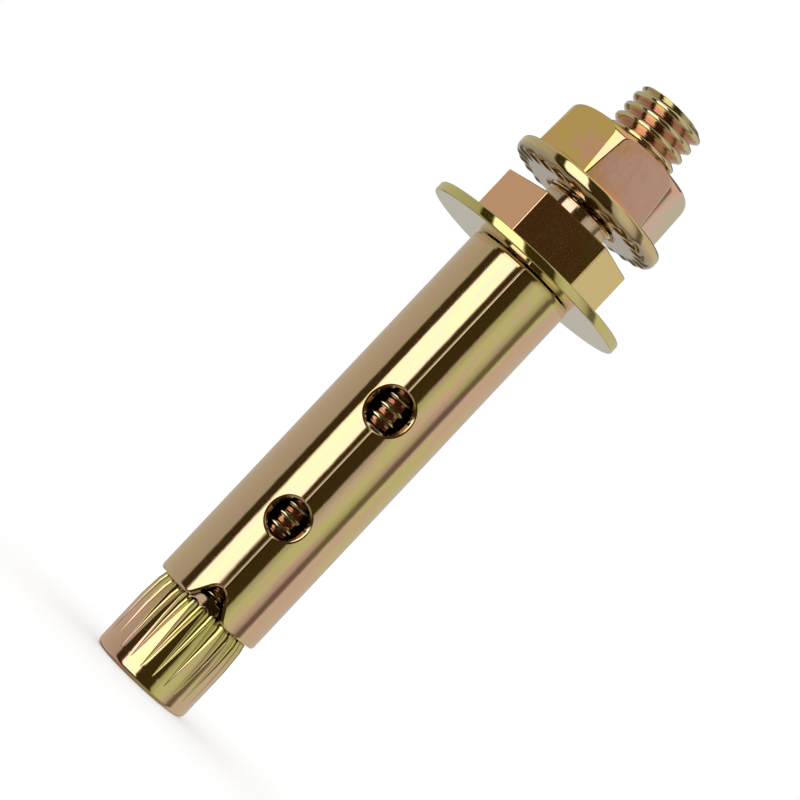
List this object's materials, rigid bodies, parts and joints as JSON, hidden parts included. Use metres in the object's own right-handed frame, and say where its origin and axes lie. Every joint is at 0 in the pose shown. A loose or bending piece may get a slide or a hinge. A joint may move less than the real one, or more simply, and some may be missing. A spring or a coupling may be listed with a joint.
{
  "type": "expansion bolt",
  "caption": "Sleeve anchor for masonry: a fluted cone nut is drawn into a slit sleeve by a stud with a hex collar, and a flange nut clamps the fixture.",
  "frame": {"origin": "centre of the lower end face of the cone nut, on the bolt's axis", "axes": "+Z along the bolt's axis towards the threaded tip of the stud; the seam, holes and notch of the sleeve face -Y"},
  "size_m": [0.0228, 0.0228, 0.0734],
  "materials": {
    "stud": "yellow passivated zinc plating, glossy",
    "expander_cone": "yellow passivated zinc plating, glossy",
    "sleeve": "yellow passivated zinc plating, glossy",
    "washer": "yellow passivated zinc plating, glossy",
    "flange_nut": "yellow passivated zinc plating, glossy"
  },
  "bodies": {
    "sleeve": {"sleeve": "sleeve"},
    "stud": {"stud": "stud"},
    "cone": {"expander_cone": "expander_cone"},
    "nut": {"flange_nut": "flange_nut"},
    "washer": {"washer": "washer"}
  },
  "joints": [
    {"name": "stud_turn", "type": "hinge", "parent": "sleeve", "child": "stud", "pos_m": [0, 0, 0.0588], "axis": [0, 0, 1], "range_deg": [0, 2160]},
    {"name": "cone_draw", "type": "slide", "parent": "sleeve", "child": "cone", "axis": [0, 0, 1], "range_m": [-0.0075, 0]},
    {"name": "nut_travel", "type": "slide", "parent": "stud", "child": "nut", "axis": [0, 0, 1], "range_m": [0, 0.01]},
    {"name": "washer_spin", "type": "hinge", "parent": "stud", "child": "washer", "pos_m": [0, 0, 0.053], "axis": [0, 0, 1], "continuous": true}
  ],
  "couplings": [
    {"joint": "cone_draw", "follows": "stud_turn", "m_per_rad": -0.00019894}
  ]
}
